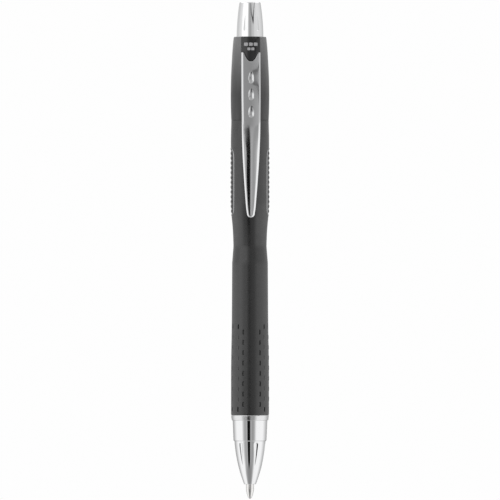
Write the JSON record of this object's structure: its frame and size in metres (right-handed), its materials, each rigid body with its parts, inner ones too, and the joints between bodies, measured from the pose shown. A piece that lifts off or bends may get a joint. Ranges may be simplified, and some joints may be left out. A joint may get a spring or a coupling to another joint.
{
  "type": "retractable gel pen",
  "caption": "Retractable pen with a rubber grip, a dimpled chrome nose and push button, a sheet-metal clip and a cam latch inside.",
  "frame": {"origin": "lowest point of the writing ball with the point out, on the pen's axis", "axes": "+Z along the pen from the writing point to the push button, the clip on the -Y side, +X to the right as seen facing the clip"},
  "size_m": [0.0114, 0.0133, 0.144],
  "materials": {
    "black_plastic": "satin moulded plastic",
    "grip_rubber": "matte fine-grained rubber",
    "panel_plastic": "semi-gloss with ribs",
    "housing_plastic": "soft-touch satin",
    "shield_gloss": "high gloss",
    "chrome": "polished plating",
    "clip_chrome": "satin face with bright rims",
    "grey_plastic": "moulded",
    "white_plastic": "moulded",
    "clear_tube": "translucent extruded tube",
    "gel_ink": "wet black gel",
    "follower_grease": "clear grease",
    "point_steel": "turned",
    "spring_steel": "drawn wire",
    "carbide": "polished ball"
  },
  "bodies": {
    "barrel": {"barrel_tube": "black_plastic", "grip_sleeve": "grip_rubber", "side_panel_left": "panel_plastic", "side_panel_right": "panel_plastic", "rear_housing": "housing_plastic", "clip_shield": "shield_gloss", "cam_sleeve": "grey_plastic"},
    "clip": {"clip": "clip_chrome"},
    "trim_ring": {"trim_ring": "chrome"},
    "nose": {"nose_cone": "chrome"},
    "button": {"button_cap": "chrome", "thrust_tube": "white_plastic"},
    "refill": {"ink_tube": "clear_tube", "ink_column": "gel_ink", "ink_follower": "follower_grease", "tip_holder": "white_plastic", "point_housing": "point_steel", "ball_spring": "spring_steel", "refill_end_cap": "black_plastic", "return_spring": "spring_steel"},
    "rotor": {"cam_rotor": "white_plastic"},
    "ball": {"writing_ball": "carbide"}
  },
  "joints": [
    {"name": "button_press", "type": "slide", "parent": "barrel", "child": "button", "axis": [0, 0, 1], "range_m": [-0.0012, 0.0052], "stiffness_N_per_m": 250},
    {"name": "refill_slide", "type": "slide", "parent": "barrel", "child": "refill", "axis": [0, 0, 1], "range_m": [-0.0012, 0.0052], "stiffness_N_per_m": 250, "deforming": ["return_spring"]},
    {"name": "rotor_turn", "type": "hinge", "parent": "refill", "child": "rotor", "pos_m": [0, 0, 0.114], "axis": [0, 0, 1], "range_deg": [-13.9, 60.1]},
    {"name": "clip_flex", "type": "hinge", "parent": "barrel", "child": "clip", "pos_m": [0, -0.0052, 0.1265], "axis": [-1, 0, 0], "range_deg": [0, 3], "stiffness_Nm_per_rad": 1},
    {"name": "nose_pull_off", "type": "slide", "parent": "barrel", "child": "trim_ring", "axis": [0, 0, -1], "range_m": [0, 0.032]},
    {"name": "nose_unscrew", "type": "hinge", "parent": "trim_ring", "child": "nose", "pos_m": [0, 0, 0.018], "axis": [0, 0, 1], "continuous": true},
    {"name": "ball_roll", "type": "hinge", "parent": "refill", "child": "ball", "pos_m": [0, 0, 0.0005], "axis": [1, 0, 0], "continuous": true}
  ],
  "couplings": [
    {"joint": "refill_slide", "follows": "button_press", "ratio": 1},
    {"joint": "rotor_turn", "follows": "button_press", "rad_per_m": 201.38}
  ]
}
